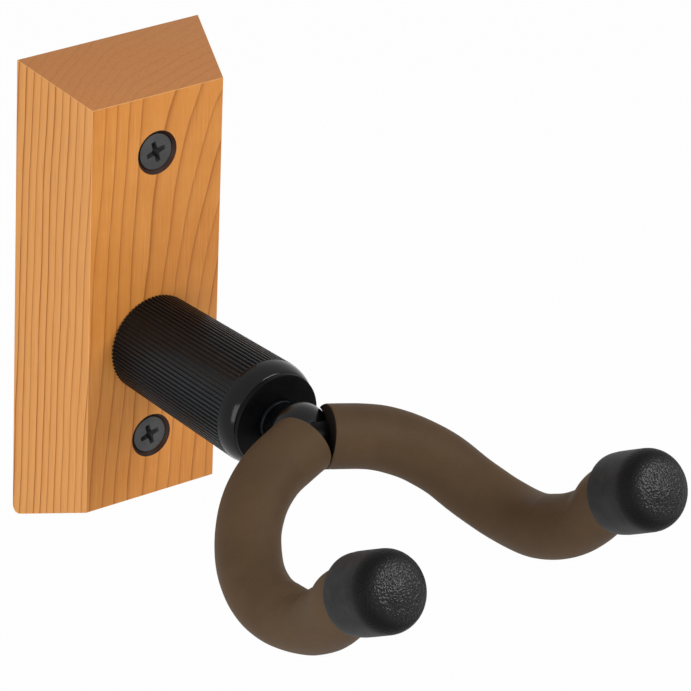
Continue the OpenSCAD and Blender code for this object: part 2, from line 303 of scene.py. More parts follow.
def place_group(tree, group, inputs):
    made = tree.nodes.new("ShaderNodeGroup")
    made.node_tree = group
    for key, value in inputs.items():
        if isinstance(value, bpy.types.NodeSocket):
            tree.links.new(value, made.inputs[key])
        else:
            made.inputs[key].default_value = value
    return made.outputs[0]


def bumped(tree, shader, height, distance, strength=1.0):
    bump = add(tree, "ShaderNodeBump", {"Height": height, "Distance": distance * MM, "Strength": strength})
    tree.links.new(bump.outputs["Normal"], shader.inputs["Normal"])


skin_grain = make_skin_grain()
slow_tone = make_slow_tone()
print("groups", skin_grain.name, slow_tone.name)

# %% [markdown]
# ## Cherry wood
#
# A board shows its growth rings as lines wherever a face cuts them. The rings here are nearly flat sheets
# that lean across the block, so the front shows wide bands, the sloped side shows close straight lines,
# and the end grain shows them at a slant, all from one recipe in three dimensions. Each ring darkens
# slowly and then stops short, as summer wood does. End grain drinks more oil, so it is browner.

# %% Wood
RING_WIDTH = 2.15
RING_LEAN = Vector((-0.52, 0.85, 0.03)).normalized()
FAN_LEFT = -4
FAN_FOOT = -30
FAN = 16000


def make_rings():
    """Late is 1 in the dark line of each growth ring, and Fibre is the fine streak along the grain."""
    group, given, result = shader_group("growth_rings", {"Place": None}, ["Late", "Fibre"])
    long_grain = add(group, "ShaderNodeMapping", {"Vector": given["Place"], "Scale": (1.0, 1.0, 0.30)}).outputs[0]
    wander = add(group, "ShaderNodeTexNoise", {"Vector": long_grain, "Scale": 38.0, "Detail": 2.0}).outputs[0]
    across = add(group, "ShaderNodeVectorMath", {0: given["Place"], 1: RING_LEAN / (RING_WIDTH * MM)},
                 operation="DOT_PRODUCT").outputs["Value"]
    split = add(group, "ShaderNodeSeparateXYZ", {0: given["Place"]}).outputs
    right_of = maths(group, "MAXIMUM", maths(group, "SUBTRACT", split["X"], FAN_LEFT * MM), 0.0)
    above = maths(group, "MAXIMUM", maths(group, "SUBTRACT", split["Z"], FAN_FOOT * MM), 0.0)
    fan = maths(group, "MULTIPLY", maths(group, "MULTIPLY", right_of, maths(group, "POWER", above, 2.0)), FAN)
    ring = maths(group, "ADD", maths(group, "MULTIPLY_ADD", wander, 1.9, across), fan)
    part = maths(group, "FRACT", ring)
    number = maths(group, "FLOOR", ring)
    tone = add(group, "ShaderNodeTexWhiteNoise", {"W": number}, noise_dimensions="1D").outputs["Value"]
    soft, thin = maths(group, "POWER", part, 3.0), maths(group, "POWER", part, 11.0)
    darkening = maths(group, "MULTIPLY_ADD", soft, 0.22, maths(group, "MULTIPLY", thin, 1.15))
    stop = maths(group, "SUBTRACT", 1.0, faded(group, part, 0.93, 1.0))
    weight = maths(group, "MULTIPLY_ADD", tone, 0.5, 0.6)
    late = maths(group, "MULTIPLY", maths(group, "MULTIPLY", darkening, stop), weight)
    group.links.new(late, result["Late"])
    streak = add(group, "ShaderNodeMapping", {"Vector": given["Place"], "Scale": (1.0, 1.0, 0.035)}).outputs[0]
    fibre = add(group, "ShaderNodeTexNoise", {"Vector": streak, "Scale": 2100.0, "Detail": 3.0, "Roughness": 0.6})
    group.links.new(fibre.outputs[0], result["Fibre"])
    return group


def make_cherry():
    made, tree, shader, place = new_material("cherry_wood", Roughness=0.5, Specular_IOR_Level=0.2)
    rings = tree.nodes.new("ShaderNodeGroup")
    rings.node_tree = make_rings()
    tree.links.new(place, rings.inputs["Place"])
    late, fibre = rings.outputs["Late"], rings.outputs["Fibre"]
    end = add(tree, "ShaderNodeAttribute", attribute_name="end_grain").outputs["Fac"]
    side = add(tree, "ShaderNodeAttribute", attribute_name="side_grain").outputs["Fac"]
    eased = add(tree, "ShaderNodeAttribute", attribute_name="eased").outputs["Fac"]
    hole = add(tree, "ShaderNodeAttribute", attribute_name="hole_shade").outputs["Fac"]
    tone = place_group(tree, slow_tone, {"Place": place, "Size": 30.0})
    early = mixed(tree, tone, rgb(212, 141, 68), rgb(202, 129, 58))
    early = mixed(tree, side, early, rgb(215, 150, 84))
    line = maths(tree, "MULTIPLY", late, maths(tree, "MULTIPLY_ADD", side, 0.5, 1.0))
    along = mixed(tree, line, early, rgb(146, 76, 26))
    along = mixed(tree, maths(tree, "MULTIPLY", faded(tree, fibre, 0.52, 0.75), 0.30), along, rgb(172, 104, 50))
    along = mixed(tree, maths(tree, "MULTIPLY", faded(tree, fibre, 0.48, 0.25), 0.25), along, rgb(232, 172, 108))
    pore = add(tree, "ShaderNodeTexNoise", {"Vector": place, "Scale": 1600.0, "Detail": 3.0}).outputs[0]
    ends = mixed(tree, maths(tree, "MULTIPLY", late, 0.4), rgb(190, 127, 75), rgb(150, 90, 48))
    ends = mixed(tree, maths(tree, "MULTIPLY", faded(tree, pore, 0.48, 0.68), 0.22), ends, rgb(158, 98, 55))
    colour = mixed(tree, end, along, ends)
    colour = mixed(tree, maths(tree, "MULTIPLY", eased, 0.45), colour, rgb(236, 180, 120))
    # Painted shade: the holes' walls are mixed to a dark brown that stands in for the shadow inside them.
    colour = mixed(tree, hole, colour, rgb(44, 22, 12))
    tree.links.new(colour, shader.inputs["Base Color"])
    tree.links.new(maths(tree, "MULTIPLY_ADD", late, -0.08, 0.5), shader.inputs["Roughness"])
    bumped(tree, shader, maths(tree, "MULTIPLY_ADD", late, 0.4, fibre), 0.06, 0.35)
    return made


cherry = make_cherry()
print("growth rings every", RING_WIDTH, "mm")

# %% [markdown]
# ## Black, steel, nylon and rubber
#
# Each finish has its own short recipe. A constant such as the metal's shine is set on the shader itself,
# and only what varies over the surface comes through nodes.

# %% Plastic and metals
def make_black_plastic():
    """Satin on the ribs, and glossier where the mould was, with a darker colour there that is a painted dark
    reflection.
    """
    made, tree, shader, place = new_material("black_plastic")
    polish_dark_reflection_mask = add(tree, "ShaderNodeAttribute", attribute_name="polish_and_dark_reflection").outputs["Fac"]
    tone = place_group(tree, slow_tone, {"Place": place, "Size": 9.0})
    satin = mixed(tree, tone, rgb(16, 20, 23), rgb(22, 26, 29))
    # Past the ribs the higher shine is real, and the darker colour is a painted dark reflection.
    tree.links.new(mixed(tree, polish_dark_reflection_mask, satin, rgb(9, 9, 10)), shader.inputs["Base Color"])
    tree.links.new(maths(tree, "MULTIPLY_ADD", polish_dark_reflection_mask, 0.06, 0.14), shader.inputs["Specular IOR Level"])
    tree.links.new(maths(tree, "MULTIPLY_ADD", polish_dark_reflection_mask, -0.17, 0.30), shader.inputs["Roughness"])
    bumped(tree, shader, place_group(tree, skin_grain, {"Place": place, "Pebble": 0.25, "Fine": 0.5}), 0.01, 0.5)
    return made


def make_black_metal(name, dark, light, roughness, grain, shine=0.5):
    made, tree, shader, place = new_material(name, Specular_IOR_Level=shine)
    tone = place_group(tree, slow_tone, {"Place": place, "Size": 5.0})
    tree.links.new(mixed(tree, tone, rgb(*[dark] * 3), rgb(*[light] * 3)), shader.inputs["Base Color"])
    tree.links.new(maths(tree, "MULTIPLY_ADD", tone, 0.08, roughness), shader.inputs["Roughness"])
    bumped(tree, shader, place_group(tree, skin_grain, {"Place": place, "Pebble": grain, "Fine": 0.5}), 0.01, 0.6)
    return made


def make_plated_steel():
    made, tree, shader, place = new_material("plated_steel", Metallic=1.0)
    tone = place_group(tree, slow_tone, {"Place": place, "Size": 3.0})
    tree.links.new(mixed(tree, tone, rgb(186, 188, 190), rgb(158, 161, 165)), shader.inputs["Base Color"])
    tree.links.new(maths(tree, "MULTIPLY_ADD", tone, 0.16, 0.24), shader.inputs["Roughness"])
    bumped(tree, shader, place_group(tree, skin_grain, {"Place": place, "Pebble": 0.3, "Fine": 0.8}), 0.01, 0.4)
    return made


def make_nylon(name, light, dark):
    made, tree, shader, place = new_material(name, Roughness=0.45, Subsurface_Weight=0.1)
    tone = place_group(tree, slow_tone, {"Place": place, "Size": 4.0})
    tree.links.new(mixed(tree, tone, rgb(*light), rgb(*dark)), shader.inputs["Base Color"])
    bumped(tree, shader, place_group(tree, skin_grain, {"Place": place, "Pebble": 0.4, "Fine": 0.5}), 0.01, 0.4)
    return made


black_plastic = make_black_plastic()
gloss_black = make_black_metal("gloss_black_metal", 7, 11, 0.16, 0.5, shine=0.24)
satin_black = make_black_metal("satin_black_metal", 8, 12, 0.34, 0.5, shine=0.06)
screw_black = make_black_metal("black_phosphate", 44, 62, 0.45, 0.2)
plated_steel = make_plated_steel()
ivory_nylon = make_nylon("ivory_nylon", (226, 221, 205), (211, 204, 185))
blue_nylon = make_nylon("blue_nylon", (38, 78, 160), (30, 62, 132))
print("metals and plastics ready")

# %% Tube and cap rubber
def make_tube_rubber():
    made, tree, shader, place = new_material("brown_tube", Specular_IOR_Level=0.12)
    tone = place_group(tree, slow_tone, {"Place": place, "Size": 14.0})
    colour = mixed(tree, tone, rgb(77, 59, 41), rgb(84, 65, 46))
    speck = add(tree, "ShaderNodeTexNoise", {"Vector": place, "Scale": 2600.0, "Detail": 2.0}).outputs[0]
    colour = mixed(tree, maths(tree, "MULTIPLY", faded(tree, speck, 0.5, 0.8), 0.2), colour, rgb(104, 83, 63))
    end_face_shade_mask = add(tree, "ShaderNodeAttribute", attribute_name="end_face_shade").outputs["Fac"]
    # Painted shade: the cut end face is mixed to near black, standing in for the shadow between the tube's end and the
    # hub.
    colour = mixed(tree, end_face_shade_mask, colour, rgb(22, 17, 12))
    tree.links.new(colour, shader.inputs["Base Color"])
    tree.links.new(maths(tree, "MULTIPLY_ADD", tone, 0.08, 0.58), shader.inputs["Roughness"])
    bumped(tree, shader, place_group(tree, skin_grain, {"Place": place, "Pebble": 0.35, "Fine": 0.6}), 0.015, 0.5)
    return made


def make_cap_rubber():
    """Satin on the barrel, and a coarse glinting grain on the domed end, whose near-black colour is a painted dark
    reflection.
    """
    made, tree, shader, place = new_material("cap_rubber")
    dome = add(tree, "ShaderNodeAttribute", attribute_name="dome").outputs["Fac"]
    end = add(tree, "ShaderNodeAttribute", attribute_name="dome_end").outputs["Fac"]
    tone = place_group(tree, slow_tone, {"Place": place, "Size": 5.0})
    barrel = mixed(tree, tone, rgb(33, 33, 34), rgb(44, 44, 45))
    # Painted dark reflection: the domed end's colour is mixed to near black, standing in for the dark ring it reflects.
    tree.links.new(mixed(tree, dome, barrel, rgb(7, 7, 8)), shader.inputs["Base Color"])
    tree.links.new(maths(tree, "MULTIPLY_ADD", end, 0.16, 0.10), shader.inputs["Specular IOR Level"])
    tree.links.new(maths(tree, "MULTIPLY_ADD", end, -0.37, 0.55), shader.inputs["Roughness"])
    coarse = place_group(tree, skin_grain, {"Place": place, "Pebble": 0.5, "Fine": 0.3})
    fine = place_group(tree, skin_grain, {"Place": place, "Pebble": 0.3, "Fine": 0.6})
    height = maths(tree, "MULTIPLY_ADD", maths(tree, "MULTIPLY", coarse, dome), 7.0, fine)
    bumped(tree, shader, height, 0.03, 1.0)
    return made


tube_rubber = make_tube_rubber()
cap_rubber = make_cap_rubber()
print("rubbers ready")

# %% [markdown]
# ## Turned pieces
#
# Most of the arm is round: the collar, the hub, the caps and the washers are all an outline turned about
# an axis, as on a lathe. An outline is a list of (radius, height) points. Its corners are eased first,
# because no real edge is a perfect corner, and an eased edge catches the light.

# %% Lathe helpers
SIDES = 96


def eased(outline, ease, closed=True, steps=3):
    """The outline with each corner rounded. A corner closer than ease to its neighbour rounds less."""
    made = []
    last = len(outline) - 1
    for i, corner in enumerate(outline):
        here = Vector(corner[:2])
        if not closed and i in (0, last):
            made.append(tuple(here))
            continue
        before, after = Vector(outline[i - 1][:2]), Vector(outline[(i + 1) % len(outline)][:2])
        size = corner[2] if len(corner) > 2 else ease
        size = min(size, (before - here).length * 0.48, (after - here).length * 0.48)
        start, end = here + (before - here).normalized() * size, here + (after - here).normalized() * size
        for k in range(steps + 1):
            t = k / steps
            made.append(tuple(start * (1 - t) ** 2 + here * 2 * t * (1 - t) + end * t * t))
    return made


def skin(name, rings, closed, material):
    """Quads between rings of points. A ring of one point is a pole, and closed joins the last to the first."""
    bm = bmesh.new()
    loops = [[bm.verts.new(p) for p in ring] for ring in rings]
    pairs = list(zip(loops, loops[1:] + loops[:1]))
    for first, second in pairs if closed else pairs[:-1]:
        count = max(len(first), len(second))
        for k in range(count):
            corners = [first[k % len(first)], first[(k + 1) % len(first)],
                       second[(k + 1) % len(second)], second[k % len(second)]]
            distinct = list(dict.fromkeys(corners))
            if len(distinct) > 2:
                bm.faces.new(distinct)
    bmesh.ops.remove_doubles(bm, verts=bm.verts, dist=1e-7)
    bmesh.ops.recalc_face_normals(bm, faces=bm.faces)
    mesh = bpy.data.meshes.new(name)
    bm.to_mesh(mesh)
    bm.free()
    return placed(name, mesh, material)


def placed(name, mesh, material, sharp=38):
    """Puts a mesh in the scene as an object at the origin, smooth except at edges sharper than the angle."""
    mesh.shade_smooth()
    mesh.set_sharp_from_angle(angle=math.radians(sharp))
    mesh.materials.clear()
    mesh.materials.append(material)
    made = bpy.data.objects.new(name, mesh)
    bpy.context.collection.objects.link(made)
    return made


def turned(name, outline, material, place=Matrix(), sides=SIDES, limit=None, closed=True):
    """Turns an outline in millimetres about the local Z. limit gives the greatest radius at an angle."""
    rings = []
    for radius, height in outline:
        angles = [2 * math.pi * k / sides for k in range(sides)] if radius > 1e-6 else [0]
        reach = [min(radius, limit(a)) if limit else radius for a in angles]
        rings.append([place @ (Vector((r * math.cos(a), r * math.sin(a), height)) * MM)
                      for r, a in zip(reach, angles)])
    return skin(name, rings, closed, material)


def applied(piece):
    """Turns a piece with its modifiers into a plain mesh."""
    bpy.context.view_layer.update()
    done = bpy.data.meshes.new_from_object(piece.evaluated_get(bpy.context.evaluated_depsgraph_get()))
    piece.modifiers.clear()
    piece.data = done
    return piece


def cut_by(piece, *cutters):
    for cutter in cutters:
        trim = piece.modifiers.new("cut", "BOOLEAN")
        trim.operation = "DIFFERENCE"
        trim.solver = "EXACT"
        trim.object = cutter
    applied(piece)
    for cutter in cutters:
        bpy.data.objects.remove(cutter)
    return piece


def finished(piece, body, slot, *nodes):
    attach(piece, body)
    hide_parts(*nodes)
    print(piece.name, "has", len(piece.data.polygons), "faces and stands for", ", ".join(nodes))


def out_from_wall(height):
    """Local Z points out from the wall, 0 is at the wall, and height is above the block's centre."""
    return Matrix.Translation((0, 0, height)) @ Matrix.Rotation(math.pi / 2, 4, "X")


on_arm = out_from_wall(hinge.z)
print("the arm's axis is", round(-hinge.z / MM, 1), "mm below the block's centre")

# %% [markdown]
# ## The wood block
#
# The block is a plank with its four front edges planed to a slope. It could be a cube with a bevel, but
# its slopes are wide and its edges are only just eased, so the eight corners are placed one by one and a
# small bevel rounds the edges. The holes come last, cut with turned cutters whose rims are eased too.
# Marks for end grain, eased edges and the holes' painted shade are stored on the faces for the wood to read.

# %% Block
BEVEL_W = 7.7
EDGE_EASE = 0.55
WORN_CORNER = 3.0
SCREW_HEAD_R = 4.9
SCREW_SINK = 0.6
HOLE_RIM = 0.8
CONE = math.radians(41)


def block_corners():
    low, high = Vector(block_low), Vector(block_high)
    slope = BEVEL_W * MM
    back = [(x, high.y, z) for x, z in ((low.x, low.z), (high.x, low.z), (high.x, high.z), (low.x, high.z))]
    inner = ((low.x + slope, low.z + slope), (high.x - slope, low.z + slope),
             (high.x - slope, high.z - slope), (low.x + slope, high.z - slope))
    return back + [(x, low.y, z) for x, z in inner]


def screw_height(node):
    low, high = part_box(node)
    return (low[2] + high[2]) / 2


def countersink(height):
    """The hole for a wall screw: a clear bore, a cone for the head and an eased rim."""
    thick, head = block_t / MM, SCREW_HEAD_R + 0.15
    bore = 2.65
    seat = thick - SCREW_SINK - (head - bore) / math.tan(CONE)
    rim = head + HOLE_RIM
    return turned("countersink", [(0, -1), (bore, -1), (bore, seat), (rim, thick - 0.05), (rim + 0.35, thick + 0.25),
                                  (rim + 0.35, thick + 1), (0, thick + 1)], cherry, out_from_wall(height), closed=False)


def arm_hole():
    """The arm's hole: the nut's recess at the back, the core's bore and the sleeve's seat at the front."""
    thick = block_t / MM
    recess_h, recess_r, web = 13, 11, thick - 3
    return turned("arm_hole", [(0, -1), (recess_r + 0.4, -1), (recess_r + 0.4, 0), (recess_r, 0.4), (recess_r, recess_h),
                               (6.6, recess_h), (6.6, web), (10.05, web), (10.05, thick + 1), (0, thick + 1)],
                  cherry, on_arm, closed=False)


def mark_faces(block):
    """Stores what each face of the block is, as numbers that the wood's recipe reads."""
    mesh = block.data
    side_slope = math.atan2(block_t / MM, BEVEL_W)
    plain = [Vector((0, -1, 0)), Vector((0, 1, 0))]
    for sign in (-1, 1):
        plain += [Vector((sign * math.sin(side_slope), -math.cos(side_slope), 0)),
                  Vector((0, -math.cos(side_slope), sign * math.sin(side_slope)))]
    marks = {label: mesh.attributes.new(label, "FLOAT", "FACE") for label in
             ("end_grain", "side_grain", "eased", "hole_shade")}
    axes = [(0, screw_height("wall_screw_upper"), 6.2 * MM), (0, screw_height("wall_screw_lower"), 6.2 * MM)]
    for face in mesh.polygons:
        normal, centre = face.normal, face.center
        marks["end_grain"].data[face.index].value = min(max((abs(normal.z) - 0.55) / 0.3, 0), 1)
        marks["side_grain"].data[face.index].value = min(max((abs(normal.x) - 0.5) / 0.4, 0), 1)
        inside = any(math.hypot(centre.x - x, centre.z - z) < r for x, z, r in axes) and abs(normal.y) < 0.97
        near_plain = max(normal.dot(direction) for direction in plain) > 0.995
        # Faces on the holes' walls are marked for the painted shade that darkens them.
        marks["hole_shade"].data[face.index].value = float(inside)
        marks["eased"].data[face.index].value = float(not inside and not near_plain and face.area < 2e-4)


def make_block():
    bm = bmesh.new()
    corners = [bm.verts.new(p) for p in block_corners()]
    for face in ((0, 1, 2, 3), (4, 7, 6, 5), (0, 4, 5, 1), (1, 5, 6, 2), (2, 6, 7, 3), (3, 7, 4, 0)):
        bm.faces.new([corners[i] for i in face])
    bmesh.ops.bevel(bm, geom=[corners[0]], affect="VERTICES", offset=WORN_CORNER * MM, segments=4, profile=0.5)
    bmesh.ops.recalc_face_normals(bm, faces=bm.faces)
    mesh = bpy.data.meshes.new("wood_block_eased")
    bm.to_mesh(mesh)
    bm.free()
    block = placed("wood_block_eased", mesh, cherry)
    soften = block.modifiers.new("eased", "BEVEL")
    soften.width = EDGE_EASE * MM
    soften.segments = 3
    soften.limit_method = "ANGLE"
    soften.angle_limit = math.radians(18)
    applied(block)
    cut_by(block, countersink(screw_height("wall_screw_upper")), countersink(screw_height("wall_screw_lower")),
           arm_hole())
    mark_faces(block)
    block.data.set_sharp_from_angle(angle=math.radians(35))
    finished(block, "arm", "block_wood", "wood_block")


make_block()

# %% [markdown]
# ## Screw threads
#
# A thread is one small triangle swept along a spiral. Geometry Nodes make it, because the same tree with
# other numbers serves the wood screws and the spindle's fine thread. The tree's inputs are named sizes,
# and each copy sets them by their identifiers before it is evaluated.

# %% Thread tree
def node_tree(name, inputs):
    """A Geometry Nodes tree with a mesh in, a mesh out and named sizes."""
    tree = bpy.data.node_groups.new(name, "GeometryNodeTree")
    tree.interface.new_socket("Geometry", in_out="INPUT", socket_type="NodeSocketGeometry")
    for label, default in inputs.items():
        kind = "NodeSocketInt" if isinstance(default, int) else "NodeSocketFloat"
        tree.interface.new_socket(label, in_out="INPUT", socket_type=kind).default_value = default
    tree.interface.new_socket("Material", in_out="INPUT", socket_type="NodeSocketMaterial")
    tree.interface.new_socket("Geometry", in_out="OUTPUT", socket_type="NodeSocketGeometry")
    return tree, add(tree, "NodeGroupInput").outputs


def ended(tree, geometry, material):
    """Ends a tree with real geometry that has a material."""
    real = add(tree, "GeometryNodeRealizeInstances", {"Geometry": geometry})
    dressed = add(tree, "GeometryNodeSetMaterial", {"Geometry": real.outputs[0], "Material": material})
    add(tree, "NodeGroupOutput", {"Geometry": dressed.outputs[0]})


def run_tree(piece, tree, sizes, material):
    """Puts the tree on a piece with these sizes and turns the result into a plain mesh."""
    modifier = piece.modifiers.new(tree.name, "NODES")
    modifier.node_group = tree
    identifiers = {item.name: item.identifier for item in tree.interface.items_tree if item.in_out == "INPUT"}
    for label, value in dict(sizes, Material=material).items():
        modifier[identifiers[label]] = value
    return applied(piece)


def make_thread_tree():
    """A spiral ridge of triangular section, joined to the screw that comes in."""
    tree, given = node_tree("thread", {"Start": 0.0, "Length": 0.01, "Pitch": 0.001, "Root": 0.002, "Ridge": 0.0005})
    turns = maths(tree, "DIVIDE", given["Length"], given["Pitch"])
    spiral = add(tree, "GeometryNodeCurveSpiral", {"Resolution": 40, "Rotations": turns, "Start Radius": given["Root"],
                                                  "End Radius": given["Root"], "Height": given["Length"]})
    upright = add(tree, "GeometryNodeSetCurveNormal", {"Curve": spiral.outputs[0]}, mode="Z_UP")
    section = add(tree, "GeometryNodeCurvePrimitiveCircle", {"Resolution": 3, "Radius": given["Ridge"]})
    ridge = add(tree, "GeometryNodeCurveToMesh", {"Curve": upright.outputs[0], "Profile Curve": section.outputs[0],
                                                 "Fill Caps": True})
    offset = add(tree, "ShaderNodeCombineXYZ", {"Z": given["Start"]})
    moved = add(tree, "GeometryNodeTransform", {"Geometry": ridge.outputs[0], "Translation": offset.outputs[0]})
    both = add(tree, "GeometryNodeJoinGeometry")
    tree.links.new(moved.outputs[0], both.inputs[0])
    tree.links.new(given["Geometry"], both.inputs[0])
    ended(tree, both.outputs[0], given["Material"])
    return tree


thread_tree = make_thread_tree()
print("thread tree has", len(thread_tree.nodes), "nodes")

# %% [markdown]
# ## Wall screws
#
# Two black countersunk wood screws with cross recesses hold the block. A head is turned, and its recess is
# cut with a tapered cross, so the driver's wings narrow towards the bottom as in a real screw.

# %% Screws
SHANK_R = 2.4
THREAD_ROOT_R = 1.75
THREAD_TOP_R = 2.2
SCREW_REACH = 38
POINT_L = 7
RECESS_TURN = math.radians(18)


def cross_cutter(top, depth, place):
    """A cross of four wings that narrows to its bottom."""
    wing, web = 2.85, 0.62
    plan = []
    for k in range(4):
        turn = Matrix.Rotation(k * math.pi / 2 + RECESS_TURN, 2)
        plan += [turn @ Vector(p) for p in ((wing, -web), (wing, web), (web * 1.25, web * 1.25))]
    rings = [[(0, 0, top + 0.5)]]
    for share, height in ((1.0, top + 0.5), (1.0, top), (0.42, top - depth)):
        rings.append([(p.x * share, p.y * share, height) for p in plan])
    rings.append([(0, 0, top - depth - 0.4)])
    return skin("cross", [[place @ (Vector(p) * MM) for p in ring] for ring in rings], False, screw_black)


def make_screw(node):
    place = out_from_wall(screw_height(node))
    head_top = block_t / MM - SCREW_SINK
    seat = head_top - (SCREW_HEAD_R - SHANK_R) / math.tan(CONE)
    outline = [(0, -SCREW_REACH), (THREAD_ROOT_R, POINT_L - SCREW_REACH), (THREAD_ROOT_R, -2), (SHANK_R, -1),
               (SHANK_R, seat, 0.3), (SCREW_HEAD_R, head_top - 0.35, 0.15), (SCREW_HEAD_R - 0.1, head_top, 0.25),
               (0, head_top + 0.05)]
    screw = turned(node + "_threaded", eased(outline, 0.1, closed=False), screw_black, sides=48, closed=False)
    cut_by(screw, cross_cutter(head_top, 2.4, Matrix()))
    run_tree(screw, thread_tree, {"Start": (POINT_L - SCREW_REACH) * MM, "Length": 27 * MM, "Pitch": 2.2 * MM,
                                 "Root": (THREAD_ROOT_R - 0.1) * MM, "Ridge": (THREAD_TOP_R - THREAD_ROOT_R + 0.1) * MM},
             screw_black)
    screw.data.transform(place)
    screw.data.set_sharp_from_angle(angle=math.radians(35))
    finished(screw, "arm", "black_screw", node)


for node in ("wall_screw_upper", "wall_screw_lower"):
    make_screw(node)

# %% [markdown]
# ## The ribbed sleeve
#
# A moulded sleeve covers the arm, with fine ribs along it to give the hand a grip. One rib is a thin bar
# that leans outwards as the sleeve widens. A Geometry Nodes tree copies it round the axis, which is how a
# pattern maker would describe it: a number of ribs, a height and a width.

# %% Sleeve
RIBS = 74
RIB_HEIGHT = 0.42
RIB_SHARE = 0.56
RIBBED_L = 46.8
SLEEVE_REAR_R = 12.9


def make_rib_tree():
    """Ribs with tapered sides set round the axis and joined to the body that comes in."""
    tree, given = node_tree("ribs", {"Ribs": 60, "Start": 0.0, "End": 0.05, "Rear Radius": 0.01, "Front Radius": 0.01,
                                     "Width": 0.0005, "Height": 0.0005})
    start = add(tree, "ShaderNodeCombineXYZ", {"X": given["Rear Radius"], "Z": given["Start"]})
    end = add(tree, "ShaderNodeCombineXYZ", {"X": given["Front Radius"], "Z": given["End"]})
    line = add(tree, "GeometryNodeCurvePrimitiveLine", {"Start": start.outputs[0], "End": end.outputs[0]})
    upright = add(tree, "GeometryNodeSetCurveNormal", {"Curve": line.outputs[0]}, mode="Z_UP")
    section = add(tree, "GeometryNodeCurvePrimitiveQuadrilateral",
                  {"Bottom Width": given["Width"], "Top Width": maths(tree, "MULTIPLY", given["Width"], 0.55),
                   "Height": maths(tree, "MULTIPLY", given["Height"], 2.0), "Offset": 0.0}, mode="TRAPEZOID")
    rib = add(tree, "GeometryNodeCurveToMesh", {"Curve": upright.outputs[0], "Profile Curve": section.outputs[0],
                                               "Fill Caps": True})
    places = add(tree, "GeometryNodePoints", {"Count": given["Ribs"]})
    number = add(tree, "GeometryNodeInputIndex").outputs[0]
    angle = maths(tree, "DIVIDE", maths(tree, "MULTIPLY", number, 2 * math.pi), given["Ribs"])
    turn = add(tree, "ShaderNodeCombineXYZ", {"Z": angle})
    facing = add(tree, "FunctionNodeEulerToRotation", {0: turn.outputs[0]})
    copies = add(tree, "GeometryNodeInstanceOnPoints", {"Points": places.outputs[0], "Instance": rib.outputs[0],
                                                       "Rotation": facing.outputs[0]})
    both = add(tree, "GeometryNodeJoinGeometry")
    tree.links.new(copies.outputs[0], both.inputs[0])
    tree.links.new(given["Geometry"], both.inputs[0])
    ended(tree, both.outputs[0], given["Material"])
    return tree


def make_sleeve():
    front = station("arm_sleeve", "front") / MM
    wall = block_t / MM
    ribs_end = wall + RIBBED_L
    front_r = radius_of("arm_sleeve") / MM
    shoulder = [(front_r - 0.05, ribs_end), (front_r - 0.1, ribs_end + 1.2, 0.8), (front_r - 0.35, ribs_end + 2.6, 0.9),
                (front_r - 0.9, ribs_end + 4.1, 0.9), (12.25, front, 0.5)]
    body = turned("sleeve_ribbed", eased(
        [(8.55, wall - 3), (10, wall - 3), (10, wall), (SLEEVE_REAR_R - RIB_HEIGHT, wall),
         (front_r - RIB_HEIGHT, ribs_end), *shoulder, (10.55, front), (10.55, front - 2.6), (8.55, front - 2.6)], 0.08),
        black_plastic, sides=RIBS * 2)
    pitch = 2 * math.pi * front_r / RIBS
    run_tree(body, make_rib_tree(), {"Ribs": RIBS, "Start": (wall + 0.15) * MM, "End": (ribs_end + 0.1) * MM,
                                     "Rear Radius": (SLEEVE_REAR_R - RIB_HEIGHT) * MM,
                                     "Front Radius": (front_r - RIB_HEIGHT) * MM,
                                     "Width": pitch * RIB_SHARE * MM, "Height": RIB_HEIGHT * MM}, black_plastic)
    # Points past the ribs are marked for more shine and for a painted dark reflection.
    marks = body.data.attributes.new("polish_and_dark_reflection", "FLOAT", "POINT")
    for point in body.data.vertices:
        marks.data[point.index].value = min(max((point.co.z / MM - ribs_end) / 0.6, 0), 1)
    body.data.transform(on_arm)
    finished(body, "arm", "sleeve_plastic", "arm_sleeve")
    print(RIBS, "ribs,", round(pitch, 2), "mm apart")


make_sleeve()

# %% [markdown]
# ## Collar and hub
#
# A flat black collar closes the sleeve. In front of it turns the hub, a glossy black ball on a short neck
# that holds the yoke's rod. The hub is turned and then cross-drilled for the rod, as the real one is.

# %% Collar
def make_collar():
    back, front = station("end_collar", "back") / MM, station("end_collar", "front") / MM
    outer = radius_of("end_collar") / MM
    sleeve_front = station("arm_sleeve", "front") / MM
    collar = turned("end_collar_gloss", eased(
        [(4.8, back), (10.5, back), (10.5, sleeve_front), (outer, sleeve_front), (outer, front, 0.3), (4.8, front)],
        0.12), satin_black, on_arm)
    finished(collar, "arm", "black_metal", "end_collar")


make_collar()

# %% [markdown]
# ## The yoke's path
#
# The yoke is one steel rod bent four times on each side of the hub. A pipe bender's list describes it:
# how far the bend's plane rolls about the rod, the bend's radius and its angle. Walking along that list
# gives the rod's place and direction at any distance from the middle, and the tubes and caps follow it.

# %% Path of the rod
YOKE_TURN = 3
ROD_RISE = 1.6
YOKE_SLOPE = 40
ARM_SPLAY = 17.5
SIDE_RUN = 10.8
ROD_BENDS = [(0, 36, 46), (-66, 25, 54), (-48, 38, 47), (173, 19, 27)]
ROD_R = 4.0

rod_frame = (on_arm @ Matrix.Rotation(math.radians(YOKE_TURN), 4, "Z")
             @ Matrix.Translation((0, ROD_RISE * MM, -hinge.y)) @ Matrix.Rotation(math.radians(YOKE_SLOPE), 4, "X")
             @ Matrix.Rotation(math.pi / 2, 4, "Y") @ Matrix.Rotation(math.pi, 4, "Z"))


def bend_lengths():
    return [SIDE_RUN] + [radius * math.radians(angle) for _, radius, angle in ROD_BENDS]


